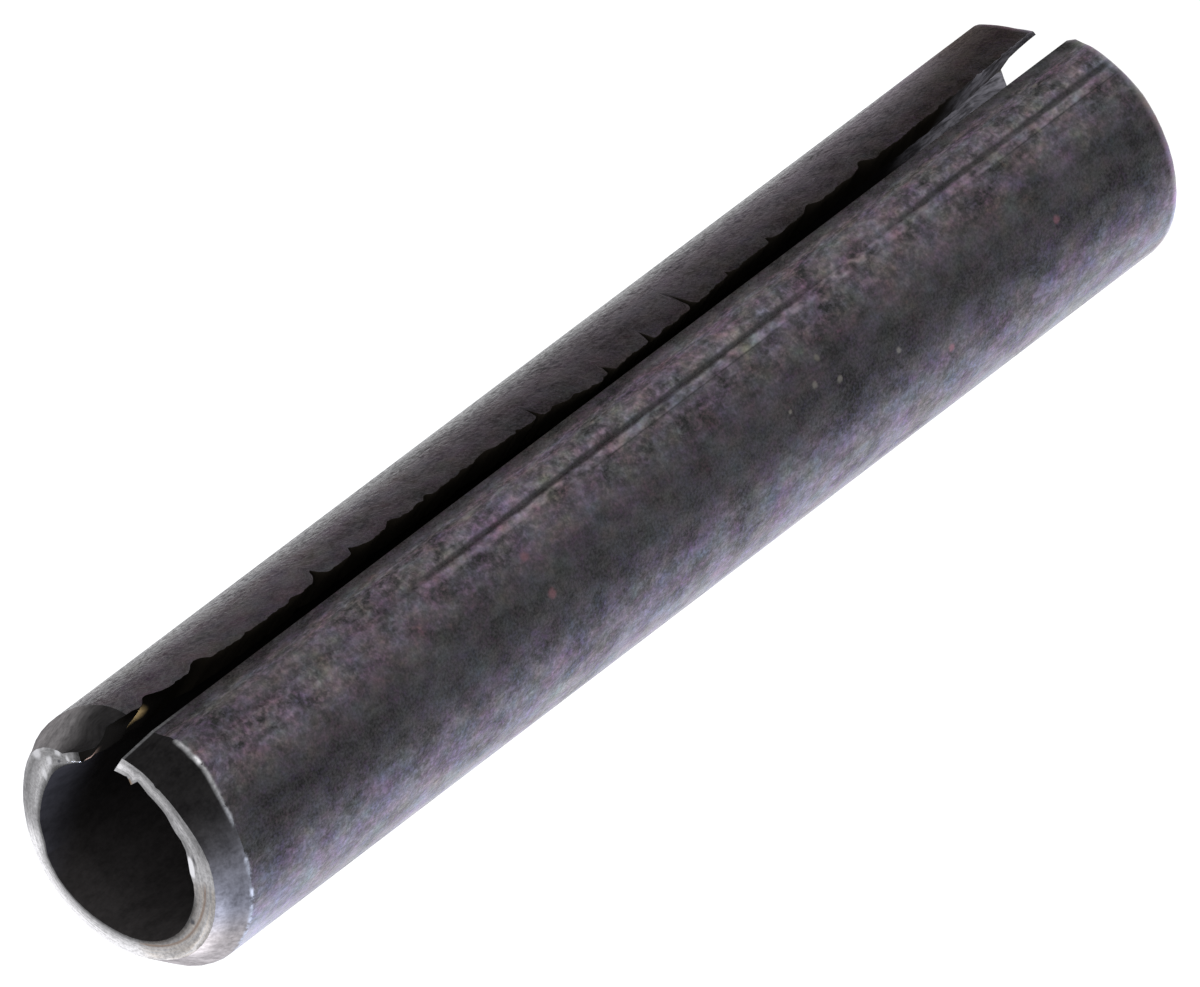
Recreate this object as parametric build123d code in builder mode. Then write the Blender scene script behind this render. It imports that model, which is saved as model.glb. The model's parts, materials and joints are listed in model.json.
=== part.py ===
from build123d import *
import math
import os

# A slotted spring pin, also called a roll pin: one strip of spring steel, rolled
# about its own length into a C. It stands on its foot along +Z, with the long
# lead-in cone at the top, and its slot faces -Y. The two edges of the strip that
# meet at the slot are its lips: one was sheared straight, the other tore.
# Lengths are in millimetres and angles in degrees.

# The rolled strip
outside_diameter = 2.35  # free size, before a hole squeezes the pin
strip_thickness = 0.40
pin_length = 12.0

# The two ends
lead_in_length = 0.30  # the cone that starts the pin in its hole
lead_in_depth = 0.19
mouth_break = 0.06  # inner edge of the top end, worn round by its grinding
foot_break = 0.06  # outer edge of the foot, dulled by tumbling

# The slot. Its widths are square to its walls, which lean away from the radius,
# so the torn lip is undercut and the straight lip reaches in under it.
slot_lean = 26.4
straight_lip_angle = 6.0  # outer edge of the straight lip, from -Y towards -X
slot_width_top = 0.255
slot_width_upper = 0.20
slot_width_waist = 0.065
slot_width_foot = 0.26
upper_height = 8.4  # where the upper width is measured, above the foot
waist_height = 5.8

# The corner of the torn lip that broke off at the foot. The break climbs inwards.
broken_corner_angle = 14.0  # where it faces, from -Y towards +X
broken_corner_climb = 35.0
broken_corner_height = 0.235  # on the outside, above the foot
broken_corner_run = 0.14  # level part of the break, past its middle
broken_corner_slope = 0.46  # sloping part, down to the foot

# The corner of the straight lip, clipped at the foot
clipped_corner_height = 0.12
clipped_corner_run = 0.30

# The drawing die's score line along the outside
score_angle = 23.8  # from -Y towards -X
score_radius = 0.06
score_depth = 0.02

outer_radius = outside_diameter / 2
bore_radius = outer_radius - strip_thickness
past_the_pin = 0.5  # how far a cut runs out beyond the pin


def slot_outline(straight_edge):
    """Draws the slot as it is seen along its leaning walls, with the pin's axis upright."""
    torn_edge_top = straight_edge + slot_width_top
    torn_edge_foot = straight_edge + slot_width_foot
    waist = (straight_edge + slot_width_waist, waist_height)
    over_top = pin_length + past_the_pin
    Polyline(
        waist,
        (torn_edge_foot, 0),
        (torn_edge_foot, -past_the_pin),
        (straight_edge, -past_the_pin),
        (straight_edge, over_top),
        (torn_edge_top, over_top),
        (torn_edge_top, pin_length),
    )
    Spline(
        (torn_edge_top, pin_length),
        (straight_edge + slot_width_upper, upper_height),
        waist,
    )


def facing_out(angle_from_front, from_axis=0.0, fall=0.0):
    """A plane that faces out from the pin's axis, turned from -Y towards +X, and falls below level."""
    turn = math.radians(angle_from_front)
    drop = math.radians(fall)
    outwards = (math.sin(turn), -math.cos(turn))
    return Plane(
        origin=(from_axis * outwards[0], from_axis * outwards[1], 0),
        x_dir=(math.cos(turn), math.sin(turn), 0),
        z_dir=(outwards[0] * math.cos(drop), outwards[1] * math.cos(drop), -math.sin(drop)),
    )


with BuildPart() as spring_pin:
    # The wall, from the lengthwise section of the strip
    with BuildSketch(Plane.XZ):
        with BuildLine():
            Polyline(
                (bore_radius, 0),
                (outer_radius - foot_break, 0),
                (outer_radius, foot_break),
                (outer_radius, pin_length - lead_in_length),
                (outer_radius - lead_in_depth, pin_length),
                (bore_radius + mouth_break, pin_length),
                (bore_radius, pin_length - mouth_break),
                close=True,
            )
        make_face()
    revolve(axis=Axis.Z)

    # The slot, with its straight lip, its torn lip and the waist where they come closest
    straight_edge = outer_radius * math.sin(math.radians(slot_lean - straight_lip_angle))
    with BuildSketch(facing_out(-slot_lean)):
        with BuildLine():
            slot_outline(straight_edge)
        make_face()
    extrude(amount=outer_radius + past_the_pin, mode=Mode.SUBTRACT)

    # The corner that broke off the torn lip, cut both ways from the outside of the wall
    broken_corner_top = broken_corner_height * math.cos(math.radians(broken_corner_climb))
    with BuildSketch(facing_out(broken_corner_angle, outer_radius, broken_corner_climb)):
        with BuildLine():
            Polyline(
                (-broken_corner_run - slot_width_foot, -past_the_pin),
                (-broken_corner_run - slot_width_foot, broken_corner_top),
                (broken_corner_run, broken_corner_top),
                (broken_corner_run + broken_corner_slope, 0),
                (broken_corner_run + broken_corner_slope, -past_the_pin),
                close=True,
            )
        make_face()
    extrude(amount=outer_radius, both=True, mode=Mode.SUBTRACT)

    # The clipped corner of the straight lip
    lip_across = -outer_radius * math.sin(math.radians(straight_lip_angle))
    with BuildSketch(facing_out(0)):
        with BuildLine():
            Polyline(
                (lip_across, -past_the_pin),
                (lip_across, clipped_corner_height),
                (lip_across - clipped_corner_run, 0),
                (lip_across - clipped_corner_run, -past_the_pin),
                close=True,
            )
        make_face()
    extrude(amount=outer_radius + past_the_pin, mode=Mode.SUBTRACT)

    # The score line, a shallow round-bottomed groove from end to end
    score_centre = outer_radius + score_radius - score_depth
    with BuildSketch(Plane.XY):
        with PolarLocations(score_centre, 1, start_angle=-90 - score_angle):
            Circle(score_radius)
    extrude(amount=pin_length, mode=Mode.SUBTRACT)

spring_pin.part.label = "spring_pin"

os.makedirs("parts", exist_ok=True)
export_step(spring_pin.part, "parts/spring_pin.step")
print("solids", len(spring_pin.part.solids()), "volume", round(spring_pin.part.volume, 3))
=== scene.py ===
# %% [markdown]
# # A slotted spring pin, blackened and a little worn
#
# A spring pin is one strip of spring steel, rolled about its own length into a C. It is driven
# into a hole slightly too small for it, and the slot closes and holds it there. This lesson
# makes one much as a factory does, by rolling a flat blank. Its ends and edges are shaped before
# it is rolled, because that is easier on flat points.
#
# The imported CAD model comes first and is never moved. It says how big the pin is and where it
# stands, and the looks are made around it.

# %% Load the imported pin
import json
import math

import bpy
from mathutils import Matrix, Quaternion, Vector, noise


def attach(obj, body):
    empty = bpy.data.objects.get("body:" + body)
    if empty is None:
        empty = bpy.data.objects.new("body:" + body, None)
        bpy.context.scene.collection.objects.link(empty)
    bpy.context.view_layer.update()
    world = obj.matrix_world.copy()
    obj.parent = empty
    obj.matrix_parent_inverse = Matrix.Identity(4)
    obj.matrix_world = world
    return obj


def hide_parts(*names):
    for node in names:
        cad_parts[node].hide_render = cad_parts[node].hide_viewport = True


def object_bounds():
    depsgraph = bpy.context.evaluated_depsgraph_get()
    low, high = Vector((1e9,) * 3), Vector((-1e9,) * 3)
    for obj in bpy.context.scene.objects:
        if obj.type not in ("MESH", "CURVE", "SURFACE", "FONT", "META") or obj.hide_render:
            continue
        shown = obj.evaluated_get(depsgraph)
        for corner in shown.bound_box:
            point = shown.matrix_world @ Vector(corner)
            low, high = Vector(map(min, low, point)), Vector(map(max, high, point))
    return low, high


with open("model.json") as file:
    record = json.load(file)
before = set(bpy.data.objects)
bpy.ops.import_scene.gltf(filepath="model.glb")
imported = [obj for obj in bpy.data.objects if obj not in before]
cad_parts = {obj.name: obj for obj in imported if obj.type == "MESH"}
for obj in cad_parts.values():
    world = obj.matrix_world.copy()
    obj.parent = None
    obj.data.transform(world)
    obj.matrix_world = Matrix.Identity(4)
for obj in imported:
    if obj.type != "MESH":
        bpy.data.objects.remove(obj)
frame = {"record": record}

MM = 0.001                                   # the blank is worked in millimetres
cad_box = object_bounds()
mounts = {mount["name"]: mount["dims"] for mount in frame["record"]["mounts"]}
pin_radius = mounts["shank"]["r_mm"]
bore_radius = mounts["bore"]["r_mm"]
wall = pin_radius - bore_radius
pin_length = cad_box[1].z / MM
print(f"pin {2 * pin_radius:.2f} mm across, {pin_length:.2f} mm long, wall {wall:.2f} mm")

# %% [markdown]
# ## Camera
#
# The pin stands on its foot, as it does in the CAD model, and the camera is turned so that it
# lies across the frame. The lens is very long, as a macro lens far from a tiny part sees it,
# so both ends are nearly the same size.

# %% Camera
camera_azimuth = -38.0       # degrees, 0 looks along +Y
camera_elevation = 36.64
camera_roll = -127.13
camera_distance = 308.1      # mm
camera_lens = 1145.3
pin_off_centre = Vector((-0.011, 0.0225, -camera_distance))   # the pin's middle as the camera sees it

turn, rise = math.radians(camera_azimuth), math.radians(camera_elevation)
towards_camera = Vector((math.sin(turn) * math.cos(rise), -math.cos(turn) * math.cos(rise), math.sin(rise)))
aim = (-towards_camera).to_track_quat("-Z", "Y") @ Quaternion((0, 0, 1), math.radians(camera_roll))
pin_middle = Vector((0, 0, pin_length / 2))

bpy.ops.object.camera_add()
camera = bpy.context.object
camera.name = "camera"
camera.rotation_mode = "QUATERNION"
camera.rotation_quaternion = aim
camera.location = (pin_middle - aim @ pin_off_centre) * MM
camera.data.lens = camera_lens
camera.data.clip_start = 1 * MM
camera.data.clip_end = 10.0
bpy.context.scene.camera = camera
bpy.context.scene.view_settings.view_transform = "Standard"     # white stays white
print("camera at", [round(v, 4) for v in camera.location])

# %% [markdown]
# ## Shader sums
#
# A finish is mostly arithmetic on patterns. Blender wants a Math node for each sum, so one small
# class stands for a socket and turns +, - and * into those nodes. `node` makes every other kind.
# Numbers that don't change over the surface are worked out in Python.

# %% A class for shader sums
class Wire:
    """One output of a node. Sums on it add Math nodes to the same material."""

    def __init__(self, sheet, socket):
        self.sheet = sheet
        self.socket = socket

    def sum(self, operation, first, second=0.0):
        return self.sheet.node("ShaderNodeMath", {"operation": operation}, {0: first, 1: second})

    def __add__(self, other):
        return self.sum("ADD", self, other)

    def __radd__(self, other):
        return self.sum("ADD", other, self)

    def __sub__(self, other):
        return self.sum("SUBTRACT", self, other)

    def __rsub__(self, other):
        return self.sum("SUBTRACT", other, self)

    def __mul__(self, other):
        return self.sum("MULTIPLY", self, other)

    def __rmul__(self, other):
        return self.sum("MULTIPLY", other, self)

    def __abs__(self):
        return self.sum("ABSOLUTE", self)

    def above(self, low, high):
        """0 below low and 1 above high, with a smooth step between them."""
        return self.sheet.node("ShaderNodeMapRange", {"interpolation_type": "SMOOTHSTEP"},
                               {"Value": self, "From Min": low, "From Max": high})

    def below(self, low, high):
        """1 below low and 0 above high."""
        return 1 - self.above(low, high)

    def near(self, middle, reach):
        """1 at the middle and 0 past the reach."""
        return abs(self - middle).below(0, reach)

    def larger(self, other):
        return self.sum("MAXIMUM", self, other)


class Finish:
    """A new material, with methods that add nodes to it."""

    def __init__(self, name):
        self.material = bpy.data.materials.new(name)
        self.material.use_nodes = True
        self.tree = self.material.node_tree
        self.tree.nodes.clear()

    def node(self, kind, settings, inputs, output=0):
        made = self.tree.nodes.new(kind)
        for name, value in settings.items():
            setattr(made, name, value)
        for name, value in inputs.items():
            if isinstance(value, Wire):
                self.tree.links.new(value.socket, made.inputs[name])
            else:
                made.inputs[name].default_value = value
        return Wire(self, made.outputs[output])

    def noise(self, place, scale, detail=2.0, roughness=0.5, output="Fac"):
        settings = {"noise_dimensions": "3D"}
        inputs = {"Vector": place, "Scale": scale, "Detail": detail, "Roughness": roughness}
        return self.node("ShaderNodeTexNoise", settings, inputs, output)

    def stretched(self, place, stretch, shift=(0.0, 0.0, 0.0)):
        """The place, scaled along each axis, so that a pattern on it is longer or shorter."""
        settings = {"vector_type": "POINT"}
        return self.node("ShaderNodeMapping", settings,
                         {"Vector": place, "Location": shift, "Scale": stretch})

    def mix(self, factor, first, second, blend="MIX"):
        settings = {"data_type": "RGBA", "blend_type": blend}
        return self.node("ShaderNodeMix", settings, {0: factor, 6: first, 7: second}, 2)

    def ramp(self, value, low, high, stops):
        """A grey that follows (place, grey) stops, the places running from low to high."""
        made = self.node("ShaderNodeValToRGB", {}, {0: (value - low) * (1 / (high - low))})
        ramp = made.socket.node.color_ramp
        while len(ramp.elements) < len(stops):
            ramp.elements.new(0.5)
        for element, (place, grey) in zip(ramp.elements, stops):
            element.position = (place - low) / (high - low)
            element.color = (grey, grey, grey, 1)
        return made

    def spot(self, place, middle, reach):
        """1 close to the middle and 0 past the reach, all in the place's own units."""
        gap = self.node("ShaderNodeVectorMath", {"operation": "DISTANCE"}, {0: place, 1: middle}, "Value")
        return gap.below(0.3 * reach, reach)

    def shade(self, value, colour):
        """A colour, from black at 0 to that colour at 1."""
        return self.mix(value, (0, 0, 0, 1), (*colour, 1))

    def finish(self, shader):
        end = self.tree.nodes.new("ShaderNodeOutputMaterial")
        self.tree.links.new(shader.socket, end.inputs["Surface"])
        return self.material


print("shader sums ready")

# %% [markdown]
# ## Floor and light
#
# The pin stands on a plain pale floor that glows faintly, like a light table, so that it stays
# white right under the pin. The room is white all round, and one large soft light stands at the
# far side, slightly cool. Polished black steel shows its surroundings, so a grey card on the
# floor is what makes the side with the torn lip dark.

# %% Floor
bpy.ops.mesh.primitive_plane_add(size=2.0)
floor = bpy.context.object
floor.name = "floor"
floor_finish = Finish("white light table")
floor.data.materials.append(floor_finish.finish(floor_finish.node(
    "ShaderNodeBsdfPrincipled", {},
    {"Base Color": (0.05, 0.05, 0.05, 1), "Roughness": 0.9, "Specular IOR Level": 0.0,
     "Emission Color": (1, 1, 1, 1), "Emission Strength": 1.05})))

# %% Room and lights
room = bpy.data.worlds.new("white room")
room.use_nodes = True
room.node_tree.nodes["Background"].inputs["Color"].default_value = (1, 1, 1, 1)
room.node_tree.nodes["Background"].inputs["Strength"].default_value = 1.0
bpy.context.scene.world = room


def soft_light(name, polar, rise, distance, size, power, colour):
    """A square light, its distance and size in mm, that faces the pin's middle."""
    polar, rise = math.radians(polar), math.radians(rise)
    towards = Vector((math.cos(polar) * math.cos(rise), math.sin(polar) * math.cos(rise), math.sin(rise)))
    bpy.ops.object.light_add(type="AREA", location=(pin_middle + towards * distance) * MM)
    light = bpy.context.object
    light.name = name
    light.rotation_mode = "QUATERNION"
    light.rotation_quaternion = (-towards).to_track_quat("-Z", "Y")
    light.data.size = size * MM
    light.data.energy = power
    light.data.color = colour
    light.visible_camera = False


soft_light("cool side light", 124.0, 15.0, 60.0, 40.0, 0.22, (0.66, 0.75, 1.0))

# A wedge of grey card lies on the floor beside the torn lip, narrow end to the pin.
card_sides = (288.0, 366.0)                  # the directions of its two sides, in degrees
card_near, card_far = 1.3, 24.0              # how far its ends are from the pin's axis, in mm
card_height = 0.05                           # mm above the floor
card_corners = [
    (reach * math.cos(math.radians(side)), reach * math.sin(math.radians(side)), card_height)
    for side, reach in (
        (card_sides[0], card_near), (card_sides[1], card_near),
        (card_sides[1], card_far), (card_sides[0], card_far))]
card_mesh = bpy.data.meshes.new("grey card")
card_mesh.from_pydata([[v * MM for v in corner] for corner in card_corners], [], [(0, 1, 2, 3)])
card = bpy.data.objects.new("grey card", card_mesh)
bpy.context.collection.objects.link(card)
card.visible_camera = False
card_finish = Finish("grey card")
card.data.materials.append(card_finish.finish(card_finish.node(
    "ShaderNodeBsdfPrincipled", {},
    {"Base Color": (0.37, 0.31, 0.29, 1), "Roughness": 0.9, "Specular IOR Level": 0.0})))
print("floor, room and lights ready")

# %% [markdown]
# ## The blank
#
# The blank lies along Z with its outside at y = 0 and its bore side at y = -wall, and x runs
# round the pin once it is rolled. It starts as a grid over the cut edge of the strip. That
# grid is extruded sideways, column by column, so that the columns can stand close together at
# the two lips and at the score line, where the detail is, and wide apart at the back.

# %% Where the blank's edges and columns lie
slot_lean = 26.4             # degrees between the slot's walls and the radius
straight_lip_angle = 6.0     # outer edge of the straight lip, from the front
score_angle = 23.8           # the score line, from the front
straight_side = math.sin(math.radians(slot_lean - straight_lip_angle)) * pin_radius
degree = math.radians(1) * pin_radius        # one degree round the pin, as a length


def lip_angle(off_axis, radius):
    """How far round from the front a slot wall is, at that radius, in degrees."""
    return math.degrees(math.asin(min(off_axis / radius, 1.0))) - slot_lean


slot_widths = (
    (0.0, 0.26), (2.0, 0.20), (3.1, 0.185), (4.3, 0.145), (4.9, 0.10), (5.7, 0.09), (6.0, 0.065),
    (6.5, 0.14), (7.4, 0.18), (10.3, 0.18), (pin_length, 0.26))
narrowest = min(width for height, width in slot_widths)


def along(points, place):
    """The value at a place on a line through (place, value) points, level past its ends."""
    if place <= points[0][0]:
        return points[0][1]
    for (low, low_value), (high, high_value) in zip(points, points[1:]):
        if place <= high:
            return low_value + (high_value - low_value) * (place - low) / (high - low)
    return points[-1][1]


blank_left = -(180 + lip_angle(straight_side, bore_radius)) * degree
blank_right = (180 - lip_angle(straight_side + narrowest, pin_radius)) * degree
score_place = -(180 - score_angle) * degree
fine_step = 0.012
coarse_step = 0.15
step_growth = 0.2
rows = 530
layers = 4


def column_places():
    """The x of each column, from one lip to the other."""
    place = blank_left
    places = [place]
    while place < blank_right:
        nearest = min(abs(place - fine) for fine in (blank_left, score_place, blank_right))
        place = min(place + min(coarse_step, fine_step + step_growth * nearest), blank_right)
        places.append(place)
    return places


columns = column_places()
print(f"blank {blank_right - blank_left:.3f} mm wide, {len(columns)} columns, {rows} rows")

# %% Make the blank
bpy.ops.object.select_all(action="DESELECT")
bpy.ops.mesh.primitive_grid_add(
    x_subdivisions=layers, y_subdivisions=rows, size=1,
    location=(blank_left, -wall / 2, pin_length / 2),
    rotation=(math.radians(90), 0, math.radians(90)))
pin = bpy.context.object
pin.name = "spring_pin_steel"
pin.scale = (wall, pin_length, 1)
bpy.ops.object.transform_apply(location=True, rotation=True, scale=True)
bpy.ops.object.mode_set(mode="EDIT")
bpy.ops.mesh.select_all(action="SELECT")
for here, there in zip(columns, columns[1:]):
    bpy.ops.mesh.extrude_region_move(TRANSFORM_OT_translate={"value": (there - here, 0, 0)})
bpy.ops.mesh.select_all(action="SELECT")
bpy.ops.mesh.normals_make_consistent(inside=False)
bpy.ops.object.mode_set(mode="OBJECT")
print(f"blank has {len(pin.data.polygons)} faces")

# %% [markdown]
# ## Working the flat blank
#
# A real pin is ground after it is rolled, but a flat blank is easier to shape here, since every
# cut is then a push along X, Y or Z. Each point's place in the flat blank is
# written down first. The pushes read it, and so does the finish, as the attribute `blank_place`,
# which follows the steel when it is rolled. A Displace modifier does each push, and a vertex
# group says how much of it each point takes.

# %% Note each point's place in the flat blank
flat_places = [vertex.co.copy() for vertex in pin.data.vertices]
blank_place = pin.data.attributes.new("blank_place", "FLOAT_VECTOR", "POINT")
blank_place.data.foreach_set("vector", [v for place in flat_places for v in place])


def push(name, axis, distance, share_at):
    """Moves points along an axis by a share of the distance, given by their place in the flat blank."""
    group = pin.vertex_groups.new(name=name)
    moved = 0
    for index, place in enumerate(flat_places):
        share = share_at(place.x, -place.y / wall, place.z)
        if share > 0:
            group.add([index], share, "REPLACE")
            moved += 1
    modifier = pin.modifiers.new(name, "DISPLACE")
    modifier.vertex_group = name
    modifier.direction = axis
    modifier.mid_level = 0
    modifier.strength = distance
    bpy.ops.object.modifier_apply(modifier=name)
    pin.vertex_groups.clear()
    print(f"{name}: {moved} points, up to {distance} mm")


def ease(share):
    """A smooth step from 0 to 1."""
    share = min(max(share, 0.0), 1.0)
    return share * share * (3 - 2 * share)


def hump(offset, reach):
    """1 at no offset, and smoothly 0 at the reach."""
    return ease(1 - abs(offset) / reach)


# %% [markdown]
# ## Lead-in, mouth and foot
#
# The head has a cone, so that the pin finds its hole, and the foot's edge is only dulled. The
# cone is uneven on this pin: it is deeper on one side than on the other, its edge wavers, and the
# mouth of the bore is worn in places. A boolean with a cone would make it too even, so the
# blank's outer and inner faces are pushed in, by shares that change round the pin.

# %% Lead-in, mouth and foot
row = pin_length / rows
lead_in_length = 16 * row
mouth_height = 14 * row
lead_in_depth = 0.235
mouth_break = 0.14
foot_break = 0.06
arris_rise = 0.09
arris_fade = 0.6             # mm below the arris in which the points make room for it

# angle round the blank, share of the lead-in's depth that is left standing
lead_in_rim = (
    (-185, 0.38), (-165, 0.38), (-152, 0.27), (-136, 0.28), (-122, 0.4), (-112, 0.46), (-98, 0.4),
    (-75, 0.3), (-30, 0.1), (0, 0.06), (60, 0.1), (85, 0.15), (105, 0.3), (118, 0.45), (129, 0.57),
    (140, 0.5), (150, 0.3), (157, 0.14), (164, -0.1), (171, -0.3), (183, -0.36))
# angle round the blank, share of the mouth's depth that is worn
mouth_rim = (
    (-186, 0.6), (-178, 0.65), (-174, 0.75), (-172, 0.2), (-170, 0.3), (-168.5, 0.9), (-166, 0.9),
    (-158, 0.62), (-144, 0.57), (-134, 0.32), (-124, 0.5), (-116, 0.3), (-108, 0.08), (-96, 0.25),
    (-72, 0.1), (-30, 0.12), (8, 0.16), (28, 0.35), (48, 0.5), (64, 0.42), (72, 0.15), (80, 0.32),
    (100, 0.2), (130, 0.25), (148, 0.42), (184, 0.5))


def round_from(x, angle, reach):
    """1 at that angle round the blank and 0 past the reach, all in degrees."""
    return hump(x / degree - angle, reach)


def lead_in_share(x, deep, z):
    left = along(lead_in_rim, x / degree)
    return (1 - deep) * (1 - left) * max(0.0, 1 - (pin_length - z) / lead_in_length)


def mouth_share(x, deep, z):
    return deep * along(mouth_rim, x / degree) * max(0.0, 1 - (pin_length - z) / mouth_height)


def arris_share(x, deep, z):
    """How far the arris of the lead-in climbs: least near the score line."""
    climb = 0.9 - 0.9 * round_from(x, -156, 38) - 0.8 * round_from(x, 160, 50)
    climb += 0.25 * noise.noise(Vector((x * 3, 0, 0)))
    below = pin_length - lead_in_length - z
    tent = (pin_length - z) / lead_in_length if below < 0 else ease(1 - below / arris_fade)
    return (1 - deep) * max(0.0, climb) * tent


push("lead-in", "Y", -lead_in_depth, lead_in_share)
push("mouth", "Y", mouth_break, mouth_share)
push("foot", "Y", -foot_break, lambda x, deep, z: (1 - deep) * max(0.0, 1 - z / foot_break) ** 2)
push("arris", "Z", arris_rise, arris_share)

# %% [markdown]
# ## Slot walls
#
# The slot leans to one side of the radius, so one of its walls is undercut and the other
# reaches in below it. The torn side isn't straight either: the slot is widest at both ends and
# nearly closes at a waist. Cutting it after the roll would need a boolean along a crooked path,
# so the blank's edges are pushed sideways, by the distance that a straight wall needs at each
# depth.

# %% Slot walls
straight_fade = 0.5          # mm from each lip in which the points make room for its wall
torn_fade = 2.0
straight_wall = lip_angle(straight_side, bore_radius)
torn_wall = lip_angle(straight_side + narrowest, pin_radius)


def radius_at(x, deep, z):
    """How far from the pin's axis a place of the blank ends up."""
    cut = lead_in_depth * lead_in_share(x, deep, z)
    return pin_radius - deep * wall + mouth_break * mouth_share(x, deep, z) - cut


def straight_lean(x, deep, z):
    back = straight_wall - lip_angle(straight_side, radius_at(x, deep, z))
    return back * degree * hump(x - blank_left, straight_fade)


def torn_lean(x, deep, z):
    back = lip_angle(straight_side + along(slot_widths, z), radius_at(x, deep, z)) - torn_wall
    return back * degree * hump(x - blank_right, torn_fade)


push("straight lip", "X", 1.0, straight_lean)
push("torn lip", "X", -1.0, torn_lean)

# %% [markdown]
# ## Bites and cracks in the torn lip
#
# One lip looks torn rather than cut: it has small bites along its edge, and short cracks that
# run straight in from it. Bites are wide and smooth, and a crack is one row of points wide. A
# little noise between them keeps the edge from looking cut. The blank's rows are close together
# along its whole length for the sake of these cracks.

# %% Bites and cracks in the torn lip
# height above the foot, depth, half height
bites = (
    (2.5, 0.06, 0.14), (3.22, 0.05, 0.10), (4.78, 0.03, 0.06), (5.87, 0.05, 0.06), (7.35, 0.03, 0.15),
    (8.05, 0.03, 0.06), (8.48, 0.05, 0.11), (8.92, 0.05, 0.10), (9.37, 0.08, 0.12), (10.82, 0.09, 0.16),
    (11.38, 0.07, 0.12), (11.75, 0.07, 0.14))
# height above the foot, length
cracks = (
    (3.75, 0.07), (4.3, 0.05), (4.8, 0.25), (5.35, 0.2), (5.88, 0.09), (6.68, 0.17), (6.94, 0.06),
    (8.95, 0.05), (9.36, 0.09))
ragged_depth = 0.03
bite_fade = 0.9              # mm from the lip
crack_half_height = 1.1 * row


def torn_bites(x, deep, z):
    edge = hump(x - blank_right, bite_fade)
    depth = sum(size * hump(z - height, half) for height, size, half in bites)
    ragged = noise.noise(Vector((0, deep * 2, z * 9))) + 0.5 * noise.noise(Vector((5, deep * 4, z * 22)))
    return (depth + ragged_depth * max(0.0, 0.3 + ragged)) * edge


def torn_cracks(x, deep, z):
    return max(
        length * max(0.0, 1 - abs(z - height) / crack_half_height)
        * hump(x - blank_right, 1.7 * length + 0.04)
        for height, length in cracks)


push("bites", "X", -1.0, torn_bites)
push("cracks", "X", -1.0, torn_cracks)

# %% [markdown]
# ## The two broken corners at the foot
#
# At the foot the torn lip has lost its corner, and a small clip is gone from the straight lip.
# The break slants through the wall, so the bore side lost more than the outside, and it has a
# burr. The foot's points are lifted to the outline of each break, and those above them make
# room, so the grid stays whole and needs no boolean.

# %% The two broken corners at the foot
break_zone = 1.4             # mm of height in which the points make room for the breaks
bore_side_extra = 0.2        # share by which the break is higher on the bore side
wall_zone, wall_fade, wall_shift = 0.8, 1.5, 0.12      # height, reach from the lip and depth, in mm
burr_angle, burr_reach = 103, 30                       # degrees round the blank
burr_zone, burr_height = 0.3, 0.12                     # mm
# distance from the torn lip, height
break_outline = ((0.0, 0.235), (0.16, 0.265), (0.35, 0.255), (0.6, 0.215), (0.9, 0.1), (1.1, 0.0))
# distance from the straight lip, height
clip_outline = ((0.0, 0.15), (0.04, 0.09), (0.33, 0.06), (1.0, 0.0))


def broken_corner(x, deep, z):
    height = along(break_outline, max(0.0, blank_right - x))
    return height * (1 + bore_side_extra * deep) * max(0.0, 1 - z / break_zone)


def clipped_corner(x, deep, z):
    return along(clip_outline, max(0.0, x - blank_left)) * max(0.0, 1 - z / break_zone)


def broken_wall(x, deep, z):
    return deep * max(0.0, 1 - z / wall_zone) * hump(x - blank_right, wall_fade)


def burr(x, deep, z):
    return deep * round_from(x, burr_angle, burr_reach) * max(0.0, 1 - z / burr_zone)


push("broken corner", "Z", 1.0, broken_corner)
push("clipped corner", "Z", 1.0, clipped_corner)
push("broken wall", "X", -wall_shift, broken_wall)
push("burr", "Y", -burr_height, burr)

# %% [markdown]
# ## Score line
#
# A shallow line runs along the pin beside the straight lip, as a forming die may score it. It
# stops just short of the foot. It is shallower than a hair is thick, so it shows mostly as a
# change of tone, but a real groove also catches the light from other sides.

# %% Score line
score_depth = 0.015
score_half_width = 0.045
score_stop = 0.15            # mm of height in which it fades out


def score_share(x, deep, z):
    return (1 - deep) * hump(x - score_place, score_half_width) * ease(z / score_stop)


push("score line", "Y", -score_depth, score_share)

# %% [markdown]
# ## Rolling
#
# A bend of nearly a full turn rolls the blank, as forming dies would. The middle of the blank
# becomes the back of the pin, and its two edges meet at the slot. Faces that meet at a sharp
# angle stay sharp, and the rest are shaded smooth.

# %% Roll the blank
bend = pin.modifiers.new("roll", "SIMPLE_DEFORM")
bend.deform_method = "BEND"
bend.deform_axis = "Z"
flat_x = [vertex.co.x for vertex in pin.data.vertices]
bend.angle = -(max(flat_x) - min(flat_x)) / pin_radius
bpy.ops.object.modifier_apply(modifier="roll")
bpy.ops.object.mode_set(mode="EDIT")
bpy.ops.mesh.select_all(action="SELECT")
bpy.ops.transform.translate(value=(0, pin_radius, 0))
bpy.ops.mesh.normals_make_consistent(inside=False)
bpy.ops.object.mode_set(mode="OBJECT")
pin.scale = (MM, MM, MM)
bpy.ops.object.transform_apply(location=False, rotation=False, scale=True)
bpy.ops.object.shade_smooth_by_angle(angle=math.radians(12))
print("rolled:", [round(v / MM, 3) for v in pin.dimensions])

# %% [markdown]
# ## Where the finish lies
#
# The whole pin is one steel with one coat, and the coat is worn off where the pin was ground or
# rubbed. The finish is therefore one material, and its patterns read the place in the flat
# blank: degrees round the pin, height above the foot, and depth through the wall. Painting it by
# faces would leave straight borders, and an image would not be as sharp close up.

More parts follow.
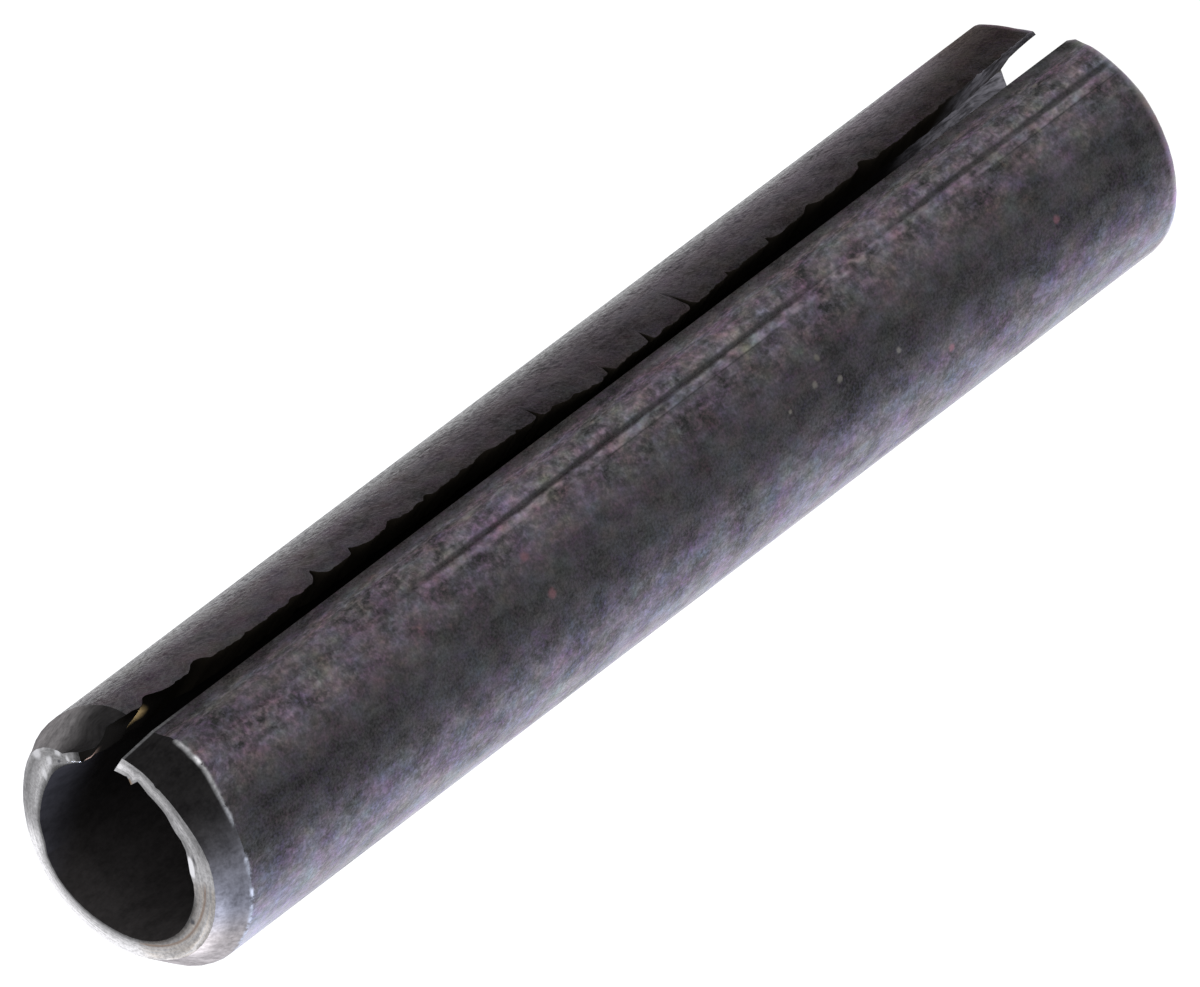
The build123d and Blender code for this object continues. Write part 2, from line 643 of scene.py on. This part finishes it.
# %% Places on the pin, as the finish reads them
steel = Finish("blackened spring steel")
blank = steel.node("ShaderNodeAttribute", {"attribute_name": "blank_place"}, {}, "Vector")
across, down, height = (steel.node("ShaderNodeSeparateXYZ", {}, {"Vector": blank}, axis) for axis in range(3))
around = across * (1 / degree)               # degrees round the blank
deep = down * (-1 / wall)                    # 0 outside, 1 in the bore
cone_foot = pin_length - lead_in_length      # where the cone meets the shank
hair = 0.002                                 # mm, less than any face is wide
all_round = (-190, 190)                      # the angles that a ramp of tones runs over

head_face = height.above(pin_length - hair, pin_length - hair / 2)
slot_wall = across.below(blank_left + hair / 2, blank_left + hair)
slot_wall = slot_wall + across.above(blank_right - hair, blank_right - hair / 2)
bore = deep.above(0.99, 1.0)
outside = deep.below(0.0, 0.01)
cone = height.above(cone_foot - hair, cone_foot) * outside

# %% Patterns
grain = steel.noise(blank, 19.0, 2.0, 0.7).above(0.28, 0.72)
fine = steel.noise(blank, 42.0, 1.0).above(0.3, 0.7)
mottle = steel.noise(steel.stretched(blank, (1, 1, 0.7)), 5.0, 3.0, 0.7).above(0.3, 0.7)
clouds = steel.noise(steel.stretched(blank, (1, 1, 0.7), (7, 0, 0)), 1.6, 2.0).above(0.3, 0.7)
drawn = steel.noise(steel.stretched(blank, (1, 1, 0.6), (3, 0, 0)), 12.0, 3.0).above(0.3, 0.7)
hues = steel.noise(steel.stretched(blank, (1, 1, 0.8), (0, 0, 5)), 4.0, 3.0, 0.7, "Color")
wobble = steel.noise(blank, 14.0, 2.0, 0.5, "Color")
wobble_size = 0.04                           # mm
rough_place = steel.node(
    "ShaderNodeVectorMath", {"operation": "MULTIPLY_ADD"}, {0: wobble, 1: (wobble_size,) * 3, 2: blank})


def mark(angle, high, reach, layer=0.0):
    """A ragged spot, its place given by angle, height and share of the wall, its reach in mm."""
    shift = wobble_size / 2                  # the wobble's own mean
    return steel.spot(rough_place, (angle * degree + shift, shift - layer * wall, high + shift), reach)


def marks(places):
    """Several spots of one kind, each (angle, height, reach) or (angle, height, reach, layer)."""
    found = mark(*places[0])
    for place in places[1:]:
        found = found.larger(mark(*place))
    return found


# %% [markdown]
# ## Oxide
#
# The black oxide is thin and glossy. It is greyer on the side beside the straight lip, where its
# pattern is drawn out a little, and darker further round, with a fine grain, soft clouds and a
# faint tint of violet. Its tones round the pin are partly its own and partly painted light and
# shade. The score line is darker, and a strip beside it is rubbed pale. A few specks of dirt
# sit on top, and a painted sheen lies near the head and along the foot's edge.

# %% Oxide
# The oxide's tone round the pin is partly its own and partly painted light and shade.
oxide_and_painted_light = steel.ramp(around, *all_round, (
    (-185, 0.012), (-181, 0.025), (-176, 0.06), (-160, 0.068), (-152, 0.056), (-143, 0.053), (-132, 0.027),
    (-122, 0.012), (-114, 0.012), (-106, 0.021), (-96, 0.032), (-76, 0.042), (60, 0.042), (100, 0.014),
    (180, 0.012)))
light_side = around.below(-148, -132)
texture = 1.3 * grain * grain + 0.8 * mottle + 0.5 * clouds
texture = texture + light_side * (drawn * drawn - 0.3) * 0.9

beside_groove = 0.4                          # degrees from the groove to the middle of its dark line
off_score = abs(around + (180 - beside_groove - score_angle))
score_shown = height.below(2.4, 3.2) + height.above(3.6, 4.4) * height.below(8.0, 9.6)
score_dark = (off_score - 0.7 * mottle).below(0.4, 1.7) * (0.12 + 0.6 * score_shown)
scratched = height.below(1.3, 2.0) + height.above(4.2, 4.8) * height.below(6.4, 7.2)
scratch = around.near(-150.3, 0.5) * scratched
polished = around.above(-155.6, -154.6) * around.below(-151.4, -150.2) * height.below(7.5, 9.5)

beside_score = around.near(-159, 3.5) * score_shown
near_head = height.above(9.5, 10.5) * around.below(-140, -130)
oxide_and_painted_light = oxide_and_painted_light * texture * (1 + 0.35 * beside_score)
oxide_and_painted_light = oxide_and_painted_light * (1 + near_head * (0.45 * around.above(-157, -155) - 0.2))
oxide_and_painted_light = oxide_and_painted_light + 0.09 * polished * drawn
oxide_and_painted_light = oxide_and_painted_light * (1 - score_dark.larger(0.5 * scratch))
oxide_and_painted_light = oxide_and_painted_light + 0.012 * height.above(6.0, 11.0) * around.above(115, 135) * outside
# Painted sheen: the oxide is made paler along the foot's edge.
oxide_and_painted_light = oxide_and_painted_light + 0.15 * height.below(0.03, 0.12) * outside
oxide_and_painted_light = (oxide_and_painted_light + 0.014 * (fine - 0.5) * outside).larger(0.0)
back = around.above(-70, -40) * around.below(90, 120)
tint = steel.mix(0.55 - 0.3 * back, (1, 1, 1, 1), steel.mix(1.0, hues, (2, 2, 2, 1), "MULTIPLY"))
oxide_and_painted_light_colour = steel.mix(1.0, steel.shade(oxide_and_painted_light, (1.0, 0.82, 0.98)), tint, "MULTIPLY")

# Painted sheen: the flank near the head is made a little paler and bluer.
lit_end = 0.07 * height.above(10.9, 11.6) * around.near(-64, 26) * outside
oxide_and_painted_light_colour = steel.mix(lit_end, oxide_and_painted_light_colour, (0.95, 0.95, 1, 1))

pale = marks((
    (-170.0, 0.77, 0.05), (-151.0, 1.1, 0.04), (-132.0, 4.3, 0.04), (-123.5, 4.45, 0.04), (-120.5, 4.8, 0.03),
    (-119.0, 4.19, 0.04), (-113.5, 3.5, 0.04), (-169.0, 3.16, 0.04)))
reddish = marks(((-117.5, 1.44, 0.05), (-139.0, 7.86, 0.06), (-120.5, 7.8, 0.06), (-99.0, 2.92, 0.05)))
dark = marks(((-139.0, 1.44, 0.08), (-103.0, 1.52, 0.07), (-162.0, 0.6, 0.06)))
oxide_and_painted_light_colour = steel.mix(0.25 * pale, oxide_and_painted_light_colour, (0.24, 0.22, 0.17, 1))
oxide_and_painted_light_colour = steel.mix(0.4 * reddish, oxide_and_painted_light_colour, (0.16, 0.06, 0.07, 1))
oxide_and_painted_light_colour = steel.mix(0.5 * dark, oxide_and_painted_light_colour, (0.008, 0.010, 0.006, 1))

# %% [markdown]
# ## Matt places
#
# The ground cone, the slot's walls and the bore have no shine. They are the same steel with a
# rough coat. The cone is darkest at the two lips and palest a little way round from the torn
# one, and these tones are partly its own and partly painted light and shade. The walls are
# nearly black, with painted shade that darkens them near the head, and the bore and walls by
# the broken corner at the foot are painted light, as if lit from the floor below.

# %% Ground cone and slot walls, which are matt
# The cone's tone round the pin is partly its own and partly painted light and shade.
cone_tone_and_painted_light = steel.ramp(around, *all_round, (
    (-185, 0.012), (-140, 0.014), (-133, 0.018), (-125, 0.03), (-117, 0.042), (-113, 0.062), (-50, 0.07),
    (100, 0.07), (112, 0.17), (134, 0.19), (153, 0.15), (162, 0.06), (169, 0.025), (178, 0.02)))
beside_ring = height.above(11.8, pin_length) * around.above(-104, -90) * around.below(-60, -40)
cone_tone_and_painted_light = cone_tone_and_painted_light * (1 + beside_ring)
cone_colour_and_painted_light = steel.shade(cone_tone_and_painted_light * (0.55 + 0.5 * mottle + 0.4 * grain), (1.0, 0.95, 0.97))
warm_cone_and_painted_light = steel.shade(cone_tone_and_painted_light * (0.8 + 0.6 * mottle + 0.5 * grain), (1.15, 0.98, 0.82))
cone_colour_and_painted_light = steel.mix(around.above(-90, -65) * around.below(-20, 10), cone_colour_and_painted_light, warm_cone_and_painted_light)
bore_tone = (0.028 + 0.014 * mottle + 0.01 * grain) * (1 - 0.7 * around.above(20, 80))
bore_colour = steel.shade(bore_tone, (1.0, 0.92, 0.93))
# Painted shade: the slot's walls are made darker near the head.
wall_tone_and_painted_shade = 0.02 - 0.016 * height.above(10.3, 11.3)
wall_colour_and_painted_shade = steel.shade(wall_tone_and_painted_shade, (1.0, 0.85, 0.65))
hidden = bore.larger(slot_wall)
hidden_colour = steel.mix(slot_wall, bore_colour, wall_colour_and_painted_shade)
# Painted light: the bore and walls near the foot are made pale, as if lit from the floor through the broken
# corner.
lit_foot = height.below(0.65, 1.45) * (0.25 + 1.2 * mottle) * (1 - 0.5 * slot_wall * height.below(0.45, 0.8))
hidden_colour = steel.mix(
    lit_foot, hidden_colour, steel.shade(0.24 + 0.12 * mottle + 0.12 * (grain - 0.5), (0.95, 0.93, 1.05)))
torn_edge = slot_wall * deep.above(0.75, 0.95) * height.above(11.7, 11.85) * around.above(0, 1)
hidden_colour = steel.mix(torn_edge, hidden_colour, (0.2, 0.13, 0.09, 1))
hidden_colour = steel.mix(mark(182.6, 11.4, 0.12, 0.56), hidden_colour, (0.30, 0.2, 0.08, 1))
matt_colour = steel.mix(hidden, oxide_and_painted_light_colour, hidden_colour)
matt_colour = steel.mix(cone, matt_colour, cone_colour_and_painted_light)
rough_patches = outside * (0.4 - 0.4 * mottle - 0.15 * clouds + 0.8 * (grain - 0.4))
matt = cone.larger(slot_wall).larger(bore).larger(rough_patches)

# %% [markdown]
# ## Bare metal
#
# The flat ring at the head is bare steel, with fine rings from grinding, a brown stain at its
# lower side, chips, and small pits. Its tone round the ring is partly its own and partly painted
# light: a painted highlight at its outer rim, a painted white band at its lower side, and
# painted shade at its edges beside the straight lip. The arris below the cone is rubbed bare
# too, but only in places, so it breaks up along the edge.

# %% Bare metal
# The ring's tone round the pin is partly its own and partly painted light.
ring_tone_and_painted_light = steel.ramp(around, *all_round, (
    (-184, 0.8), (-176, 0.5), (-150, 0.42), (-140, 0.36), (-134, 0.46), (-125, 0.36), (-108, 0.42),
    (-95, 0.45), (-70, 0.5), (-30, 0.55), (0, 0.52), (60, 0.48), (72, 0.6), (84, 0.38), (112, 0.34),
    (130, 0.4), (140, 0.45), (150, 0.25), (166, 0.24), (172, 0.24), (177, 0.2), (180, 0.05)))
rings = steel.noise(steel.stretched(blank, (0.8, 9, 0)), 3.0, 3.0).above(0.3, 0.7)
lower = around.above(-104, -96) * around.below(-24, -12)
brown_ring = lower * (deep - 0.004 * around - 0.87).near(0.0, 0.1)
# Painted highlight: a white band across the ring's lower side.
painted_ring_highlight = lower * around.above(-90, -66) * (deep + 0.15 * mottle + 0.006 * (around + 75)).near(0.3, 0.16)
straight_side_rim = around.below(-122, -108)
# Painted shade at the ring's outer and inner edges beside the straight lip.
painted_edge_shade = straight_side_rim * (0.45 * deep.below(0.2, 0.5) + 0.35 * deep.above(0.6, 0.85))
torn_side_rim = around.above(85, 105) * around.below(140, 152)
worn_edge = torn_side_rim * (0.4 * deep.above(0.5, 0.75) - 0.35 * deep.near(0.22, 0.3))
# Painted highlight: the ring is made paler towards its outer edge.
painted_rim_highlight = around.above(-45, -20) * around.below(60, 90)
ring_tone_and_painted_light = ring_tone_and_painted_light * (0.6 + 0.3 * rings + 0.4 * grain) * (1 - painted_edge_shade + worn_edge)
ring_tone_and_painted_light = ring_tone_and_painted_light * (1 + painted_rim_highlight * deep.below(0.1, 0.75))
ring_tone_and_painted_light = ring_tone_and_painted_light * (1 - 0.8 * around.above(-100, -80) * deep.above(0.65, 1.0))
ring_tone_and_painted_light = ring_tone_and_painted_light * (1 - 0.2 * lower) + 0.4 * painted_ring_highlight
bare_colour_and_painted_light = steel.mix(
    rings * lower, steel.shade(ring_tone_and_painted_light, (0.98, 0.97, 1.0)), steel.shade(ring_tone_and_painted_light, (0.9, 0.83, 0.78)))
bare_colour_and_painted_light = steel.mix(0.75 * brown_ring, bare_colour_and_painted_light, (0.22, 0.15, 0.11, 1))
pits = around.near(-114.5, 5) * deep.near(0.7, 0.1)
pits = pits.larger(marks(((-70.8, pin_length, 0.07, 0.8), (158.5, pin_length, 0.06, 0.61))))
bare_colour_and_painted_light = steel.mix(pits, bare_colour_and_painted_light, (0.08, 0.08, 0.09, 1))
chips = (around.near(-110, 11) * deep.near(0.9, 0.2)).above(0.15, 0.5)
bare_colour_and_painted_light = steel.mix(0.6 * marks((
    (134.0, pin_length, 0.12, 0.1), (145.4, pin_length, 0.1, 0.5), (132.3, pin_length, 0.1, 0.75),
    (157.0, pin_length, 0.1, 0.1), (170.0, pin_length, 0.07, 0.2), (176.0, pin_length, 0.09, 0.4),
    (181.0, pin_length, 0.1, 0.5))), bare_colour_and_painted_light, (0.8, 0.8, 0.84, 1))
bare_colour_and_painted_light = steel.mix(chips, bare_colour_and_painted_light, (0.78, 0.78, 0.82, 1))
bare_colour_and_painted_light = steel.mix(mark(-171.5, pin_length, 0.06, 0.95), bare_colour_and_painted_light, (0.2, 0.14, 0.09, 1))

arris = (height - cone_foot).near(0.0, 0.04) * outside
arris_tone = steel.ramp(around, *all_round, (
    (-168, 0.0), (-161, 0.45), (-156, 0.2), (-154, 0.75), (-151.5, 0.7), (-150, 0.25), (-146, 0.32),
    (-140, 0.26), (-133, 0.2), (-128, 0.25), (-122, 0.06), (-113, 0.06), (-109, 0.2), (-97, 0.06),
    (-93, 0.25), (-90, 0.14), (-66, 0.15), (-56, 0.06), (140, 0.0)))
lip_edge = around.below(-184.6, -183.6) * outside * height.above(10.9, 11.6)
arris_tone = arris_tone * (1 - lip_edge) + 0.1 * lip_edge
arris_colour = steel.shade(arris_tone * (0.7 + 0.6 * grain), (0.97, 0.97, 1.0))
arris = lip_edge.larger(arris * (arris_tone * (0.8 * grain + 0.7 * mottle)).above(0.02, 0.16))

# %% [markdown]
# ## Steel
#
# Two surfaces are mixed: a glossy one for the oxide and the bare ring, and a dull one for the
# matt places and the rubbed arris. The bump is slight, since the grain is in the coat.

# %% Steel
metal = steel.node(
    "ShaderNodeBsdfPrincipled", {},
    {"Base Color": steel.mix(head_face, oxide_and_painted_light_colour, bare_colour_and_painted_light), "Metallic": head_face,
     "Roughness": 0.15 + 0.12 * mottle, "Specular IOR Level": 0.3,
     "Normal": steel.node("ShaderNodeBump", {}, {"Height": grain + mottle, "Distance": 0.002 * MM})})
dull = steel.node(
    "ShaderNodeBsdfPrincipled", {},
    {"Base Color": steel.mix(arris, matt_colour, arris_colour), "Roughness": 0.9, "Specular IOR Level": 0.0})
pin.data.materials.append(steel.finish(steel.node(
    "ShaderNodeMixShader", {}, {0: matt.larger(arris), 1: metal, 2: dull})))

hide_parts("spring_pin")
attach(pin, "root")
